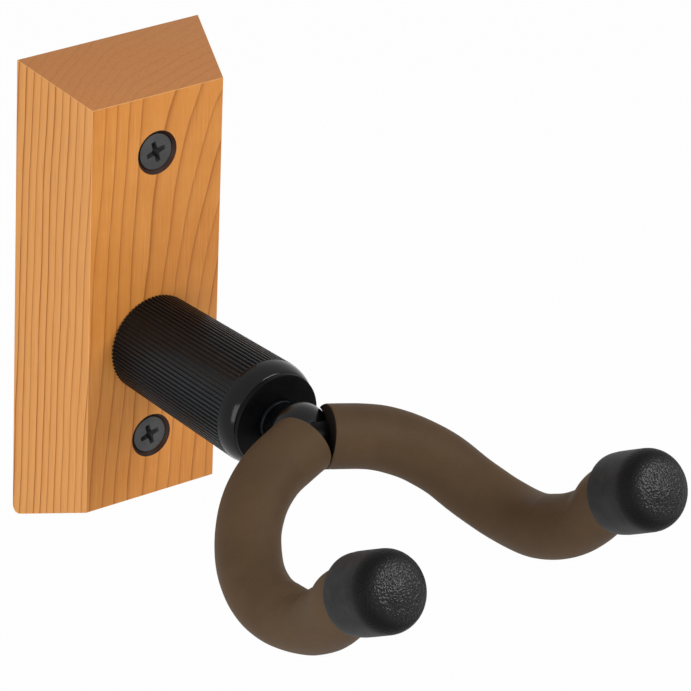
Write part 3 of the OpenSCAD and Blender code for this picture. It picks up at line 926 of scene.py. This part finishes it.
def along_rod(distance):
    """The rod's frame at a distance from the middle: local Z along the rod, and X towards the bend's centre."""
    place = Matrix.Rotation(math.radians(ARM_SPLAY), 4, "Y") @ Matrix.Translation((0, 0, min(distance, SIDE_RUN)))
    left = distance - SIDE_RUN
    for roll, radius, angle in ROD_BENDS:
        if left <= 0:
            break
        length = radius * math.radians(angle)
        part = min(left / length, 1) * math.radians(angle)
        place = (place @ Matrix.Rotation(math.radians(roll), 4, "Z") @ Matrix.Translation((radius, 0, 0))
                 @ Matrix.Rotation(part, 4, "Y") @ Matrix.Translation((-radius, 0, 0)))
        left -= length
    return place @ Matrix.Translation((0, 0, max(left, 0)))


def untwisted(distance):
    """The same place with the bends' rolls taken out, so that a skin's rows of points run straight along it."""
    place = along_rod(distance)
    left, roll_sum = distance - SIDE_RUN, 0
    for roll, radius, angle in ROD_BENDS:
        if left <= 0:
            break
        roll_sum += roll
        left -= radius * math.radians(angle)
    return place @ Matrix.Rotation(-math.radians(roll_sum), 4, "Z")


ROD_MOUTH = sum(bend_lengths())
flip = {"right": Matrix(), "left": Matrix.Diagonal((1, 1, -1, 1))}
print("the rod runs", round(ROD_MOUTH, 1), "mm from the middle to a cap's mouth")

# %% Hub
HUB_NECK_R = 5.5
BALL_REACH = 7.7
BALL_STEPS = 40

ball_r = radius_of("yoke_hub") / MM
ball_station = station("yoke_hub", "back") / MM + BALL_REACH


def make_hub():
    back = station("yoke_hub", "back") / MM
    first = math.pi - math.asin(HUB_NECK_R / ball_r)
    angles = [first * (1 - k / BALL_STEPS) for k in range(BALL_STEPS + 1)]
    ball = [(ball_r * math.sin(a), ball_station + ball_r * math.cos(a)) for a in angles]
    neck = eased([(0, back), (HUB_NECK_R, back, 0.3), (*ball[0], 0.4), ball[1]], 0.3, closed=False)
    turn = on_arm @ Matrix.Rotation(math.radians(YOKE_TURN), 4, "Z")
    hub = turned("hub_turned", neck + ball[2:], gloss_black, turn, closed=False)
    bore = radius_of("spindle") / MM + 0.05
    bottom = back + 7.05
    bores = [turned("bore", [(0, back - 1), (bore, back - 1), (bore, bottom), (0, bottom)], gloss_black, on_arm,
                    closed=False)]
    behind = -ROD_R * math.tan(math.radians(ARM_SPLAY))
    for lean in (ARM_SPLAY, 180 - ARM_SPLAY):
        place = rod_frame @ Matrix.Rotation(math.radians(lean), 4, "Y")
        bores.append(turned("bore", [(0, behind), (ROD_R + 0.05, behind), (ROD_R + 0.05, 10), (0, 10)], gloss_black,
                            place, closed=False))
    cut_by(hub, *bores)
    hub.data.set_sharp_from_angle(angle=math.radians(35))
    finished(hub, "yoke", "black_metal", "yoke_hub")


make_hub()

# %% Rod
ROD_STEP = 1.0
TIP_RUN = 13


def ring_on(place, radius, sides, push=None):
    """Points of a ring round the rod at a place in millimetres, each moved by push(angle, direction)."""
    ring = []
    for k in range(sides):
        a = 2 * math.pi * k / sides
        outwards = Vector((math.cos(a), math.sin(a), 0))
        reach = radius + (push(place.to_3x3() @ outwards, a) if push else 0)
        ring.append(place @ (outwards * reach))
    return ring


def to_frame(points, side):
    return [rod_frame @ ((flip[side] @ p) * MM) for p in points]


def in_metres(place):
    """A frame whose distances are in millimetres, as one in metres."""
    return Matrix.Translation(place.translation * MM) @ place.to_3x3().to_4x4()


def make_rod():
    steps = int((ROD_MOUTH + TIP_RUN) / ROD_STEP)
    stops = [(ROD_MOUTH + TIP_RUN) * k / steps for k in range(1, steps + 1)]
    right = [to_frame(ring_on(untwisted(s), ROD_R, 32), "right") for s in stops]
    left = [to_frame(ring_on(untwisted(s), ROD_R, 32), "left") for s in stops]
    start = untwisted(0)
    lean = start.to_3x3() @ Vector((0, 0, 1))
    middle = to_frame([p - lean * (p.z / lean.z) for p in ring_on(start, ROD_R, 32)], "right")
    tips = [[rod_frame @ (flip[side] @ untwisted(ROD_MOUTH + TIP_RUN).translation * MM)] for side in ("left", "right")]
    rod = skin("rod_bent", [tips[0]] + left[::-1] + [middle] + right + [tips[1]], False, satin_black)
    finished(rod, "yoke", "black_metal", "yoke_rod")


make_rod()

# %% [markdown]
# ## Padded tubes
#
# Brown rubber tube is pushed over each side of the rod to protect the instrument. It would be easy to give
# a curve a round bevel, but real tubing is not so even. Its open end is rounded over, it narrows where the
# cap grips it, and where the rod turns up sharply its inner side buckles into creases. So the skin is laid
# in rings along the path, and each point of a ring is pushed in or out a little.

# %% Tubes
TUBE_R = 8.1
TUBE_START_BACK = 3.8
TUBE_START_FRONT = 2.35
MEET_GAP = 0.15
BALL_GAP = 0.2
TUBE_STEP = 0.5
TUBE_SIDES = 72
CAP_SOCKET_L = 9
MOUTH_GRIP = 0.5
ball_place = rod_frame.inverted() @ (on_arm @ Vector((0, 0, ball_station * MM))) / MM
mouth_turn = along_rod(ROD_MOUTH).to_3x3()
FOLDS = {"left": ((33.0, 27.0), 1.3, 7.0, mouth_turn @ Vector((-0.93, -0.36, 0.02))),
         "right": ((15.5,), 2.2, 13.0, mouth_turn @ Vector((-0.53, -0.84, -0.14)))}


def tube_push(side):
    """How far the tube's skin stands in or out at a distance along the rod, in each direction."""
    folds, depth, reach, inside_way = FOLDS[side]

    def push_at(distance):
        from_end = distance - TUBE_START_BACK
        grip = MOUTH_GRIP * math.exp(-((distance - ROD_MOUTH) / 5.0) ** 2)
        wrinkle = -0.12 * sum(math.exp(-((from_end - place) / 0.16) ** 2) for place in (0.2, 1.1))
        off_fold = min(abs(ROD_MOUTH - distance - fold) for fold in folds)
        fold = depth * max(1 - off_fold / reach, 0)

        def push(direction, angle):
            inside = max(direction.dot(inside_way), 0.0) ** 2
            uneven = 0.10 * noise.noise(Vector((distance * 0.09, math.cos(angle), math.sin(angle))) * 1.7)
            return uneven - grip - fold * inside + wrinkle * (0.6 + 0.4 * math.sin(3 * angle))
        return push
    return push_at


def open_distance(angle, radius):
    """How far along the rod a line of the tube's skin starts. The end slants, and wraps round the hub's ball."""
    back_share = (1 - math.cos(angle) * radius / TUBE_R) / 2
    cut = TUBE_START_FRONT + (TUBE_START_BACK - TUBE_START_FRONT) * back_share
    turn = along_rod(0).to_3x3()
    along = turn @ Vector((0, 0, 1))
    out = turn @ Vector((radius * math.cos(angle), radius * math.sin(angle), 0))
    meet = (MEET_GAP - out.z) / along.z
    off = out - ball_place
    room = off.dot(along) ** 2 - off.dot(off) + (ball_r + BALL_GAP) ** 2
    clear = math.sqrt(room) - off.dot(along) if room > 0 else 0
    return max(cut, meet, clear)


def tube_ring(radius, distance_at, push_at=None):
    """A ring of the tube's skin. distance_at(angle) says how far along the rod each of its points is."""
    ring = []
    for k in range(TUBE_SIDES):
        angle = 2 * math.pi * k / TUBE_SIDES
        distance = distance_at(angle)
        place = untwisted(distance)
        outwards = Vector((math.cos(angle), math.sin(angle), 0))
        push = push_at(distance)(place.to_3x3() @ outwards, angle) if push_at else 0
        ring.append(place @ (outwards * (radius + push)))
    return ring


def make_tube(side):
    end = ROD_MOUTH + CAP_SOCKET_L
    bore = ROD_R + 0.05
    push_at = tube_push(side)
    rings = [tube_ring(bore, lambda a: open_distance(a, bore))]
    for radius, inset in ((4.9, 0), (5.8, 0), (6.8, 0), (7.4, 0), (TUBE_R - 0.35, 0), (TUBE_R - 0.1, 0.1)):
        rings.append(tube_ring(radius, lambda a: open_distance(a, radius) + inset))
    first = int((SIDE_RUN - TUBE_START_FRONT) / TUBE_STEP)
    for k in range(first):
        def blended(angle):
            start = open_distance(angle, TUBE_R) + 0.35
            return start + (SIDE_RUN - start) * k / first
        rings.append(tube_ring(TUBE_R, blended, push_at))
    count = int((end - SIDE_RUN) / TUBE_STEP)
    for k in range(count + 1):
        distance = SIDE_RUN + (end - SIDE_RUN) * k / count
        rings.append(tube_ring(TUBE_R, lambda a: distance, push_at))
    for k in range(count // 3):
        distance = end - (end - SIDE_RUN) * k / (count // 3)
        rings.append(tube_ring(bore, lambda a: distance))
    tube = skin("padded_tube_" + side, [to_frame(ring, side) for ring in rings], True, tube_rubber)
    # Points on the cut end face are marked for the painted shade that darkens it.
    marks = tube.data.attributes.new("end_face_shade", "FLOAT", "POINT")
    start = (rod_frame @ in_metres(flip[side] @ along_rod(0))).inverted()
    for point in tube.data.vertices:
        local = start @ point.co / MM
        marks.data[point.index].value = float(local.z < SIDE_RUN and local.xy.length < TUBE_R - 0.25)
    finished(tube, "yoke", "tube_rubber", "arm_tube_" + side)


for side in ("right", "left"):
    make_tube(side)

# %% [markdown]
# ## Tip caps
#
# A rubber cap closes each tube. Its barrel is satin and its domed end has a coarse grain. The cap is
# turned, and a number stored on its points says how far each is on to the dome, so that one material can
# change from satin to grain along the cap. The domed end's near-black colour is a painted dark reflection.

# %% Caps
CAP_R = 10.1
CAP_L = 18.4


def make_cap(side):
    round_end = [(CAP_R - 5.5 * (1 - math.cos(a)), CAP_L - 0.7 - 5.5 * (1 - math.sin(a)))
                 for a in (math.radians(9 * k) for k in range(11))]
    dome = [(r, CAP_L - 0.7 * (r / 4.6) ** 2) for r in (3.6, 2.6, 1.5, 0.6, 0)]
    bore = TUBE_R + 0.05
    lip = eased([(bore, 0), (9.9, 0, 1.1), (CAP_R, 3.0, 1.0)], 0.4, closed=False, steps=5)
    inside = [(0, 13.05), (ROD_R + 0.05, 13.05), (ROD_R + 0.05, 9.05), (bore, 9.05)]
    place = in_metres(flip[side] @ along_rod(ROD_MOUTH))
    outline = lip + [(CAP_R + 0.02, 7.0), (CAP_R, 10.0)] + round_end + dome + inside
    cap = turned("rubber_cap_" + side, outline, cap_rubber, rod_frame @ place, closed=False)
    back = (rod_frame @ place).inverted()
    # The dome mark carries the real grain and the painted dark reflection; the end mark carries the shine.
    for label, low, high in (("dome", CAP_L - 7.5, CAP_L - 3), ("dome_end", CAP_L - 2.2, CAP_L - 0.6)):
        marks = cap.data.attributes.new(label, "FLOAT", "POINT")
        for point in cap.data.vertices:
            share = min(max(((back @ point.co).z / MM - low) / (high - low), 0), 1)
            marks.data[point.index].value = share * share * (3 - 2 * share)
    finished(cap, "yoke", "cap_rubber", "tip_cap_" + side)


for side in ("right", "left"):
    make_cap(side)

# %% [markdown]
# ## Spindle, nut and washers
#
# These hold the yoke to the arm and show only from behind, in the block's recess. They are turned like the
# rest. The nut is turned too, with each point's radius held inside a hexagon, which gives its chamfered
# corners the curved outlines of a real nut.

# %% Spindle and nut
def make_spindle():
    back, front = station("spindle", "back") / MM, station("spindle", "front") / MM
    radius = radius_of("spindle") / MM
    threaded = 14
    root = radius - 0.62
    spindle = turned("spindle_threaded", eased(
        [(0, back), (root, back, 0.4), (root, threaded), (radius, threaded + 0.6), (radius, front), (0, front)], 0.15,
        closed=False), plated_steel, sides=64, closed=False)
    run_tree(spindle, thread_tree, {"Start": (back + 0.7) * MM, "Length": (threaded - back - 1) * MM, "Pitch": 1.25 * MM,
                                   "Root": (root - 0.05) * MM, "Ridge": 0.64 * MM}, plated_steel)
    spindle.data.transform(on_arm)
    spindle.data.set_sharp_from_angle(angle=math.radians(35))
    finished(spindle, "yoke", "bright_steel", "spindle")


def make_nut():
    low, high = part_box("lock_nut")
    back, front = station("lock_nut", "back") / MM, station("lock_nut", "front") / MM
    flats = min(high[0] - low[0], high[2] - low[2]) / 2 / MM
    corner = flats / math.cos(math.pi / 6)
    collar_top = back + 2
    bore = radius_of("spindle") / MM + 0.05

    def hexagon(angle):
        return flats / math.cos((angle + math.pi / 6) % (math.pi / 3) - math.pi / 6)

    chamfer = [(flats - 0.1 + (corner - flats + 0.15) * k / 6, k / 6 * 0.85) for k in range(7)]
    insert = radius_of("nut_insert") / MM + 0.05
    outline = ([(bore, collar_top), (insert, collar_top), (insert, back)] + [(flats - 1.2, back), (flats - 0.5, back + 0.3),
               (flats - 0.3, back + 0.9), (flats - 0.3, collar_top)] + [(r, collar_top + h) for r, h in chamfer]
               + [(r, front - h) for r, h in reversed(chamfer)] + [(bore + 0.4, front), (bore, front - 0.4)])
    nut = turned("lock_nut_hex", outline, plated_steel, on_arm, sides=144, limit=hexagon)
    finished(nut, "yoke", "bright_steel", "lock_nut")


make_spindle()
make_nut()

# %% Spring washer
def make_spring_washer():
    """A split ring whose two ends stand a little apart along the axis."""
    back, front = station("spring_washer", "back") / MM, station("spring_washer", "front") / MM
    outer, inner = radius_of("spring_washer") / MM, radius_of("spindle") / MM + 0.05
    lift = 0.2
    steps = 80
    rings = []
    for k in range(steps + 1):
        angle = math.radians(65 + 350 * k / steps)
        shift = lift * (2 * k / steps - 1)
        section = eased([(inner, back + lift), (outer, back + lift), (outer, front - lift), (inner, front - lift)], 0.25)
        rings.append([on_arm @ (Vector((r * math.cos(angle), r * math.sin(angle), h + shift)) * MM) for r, h in section])
    ends = [[sum(rings[i], Vector()) / len(rings[i])] for i in (0, -1)]
    washer = skin("spring_washer_split", [ends[0]] + rings + [ends[1]], False, plated_steel)
    finished(washer, "yoke", "bright_steel", "spring_washer")


make_spring_washer()

# %% Washers, bushes and core
def ring_outline(node, inner):
    back, front, outer = station(node, "back") / MM, station(node, "front") / MM, radius_of(node) / MM
    return [(inner, back), (outer, back), (outer, front), (inner, front)]


def bush_outline(node, barrel, flange):
    """A bush with its flange in front, for a barrel of this radius and a flange of this thickness."""
    back, front, outer = station(node, "back") / MM, station(node, "front") / MM, radius_of(node) / MM
    inner = radius_of("spindle") / MM + 0.06
    step = front - flange
    return [(inner, back), (barrel, back, 0.5), (barrel, step), (outer, step), (outer, front), (inner, front)]


def make_small_rings():
    spindle_r = radius_of("spindle") / MM
    pieces = [
        ("flat_washer", "washer_pressed", ring_outline("flat_washer", spindle_r + 0.05), plated_steel, "yoke", "bright_steel"),
        ("thrust_washer", "washer_thrust", ring_outline("thrust_washer", spindle_r + 0.05), black_plastic, "yoke", "sleeve_plastic"),
        ("nut_insert", "insert_nylon", ring_outline("nut_insert", spindle_r - 0.1), blue_nylon, "yoke", "nut_nylon"),
        ("core_tube", "core_tube_drawn", ring_outline("core_tube", 6.6), plated_steel, "arm", "bright_steel"),
        ("front_bush", "bush_front_moulded", bush_outline("front_bush", 6.55, 1.5), ivory_nylon, "arm", "nylon"),
        ("rear_bush", "bush_rear_moulded", bush_outline("rear_bush", 6.55, 1.5), ivory_nylon, "arm", "nylon"),
    ]
    for node, name, outline, material, body, slot in pieces:
        finished(turned(name, eased(outline, 0.22), material, on_arm), body, slot, node)


make_small_rings()
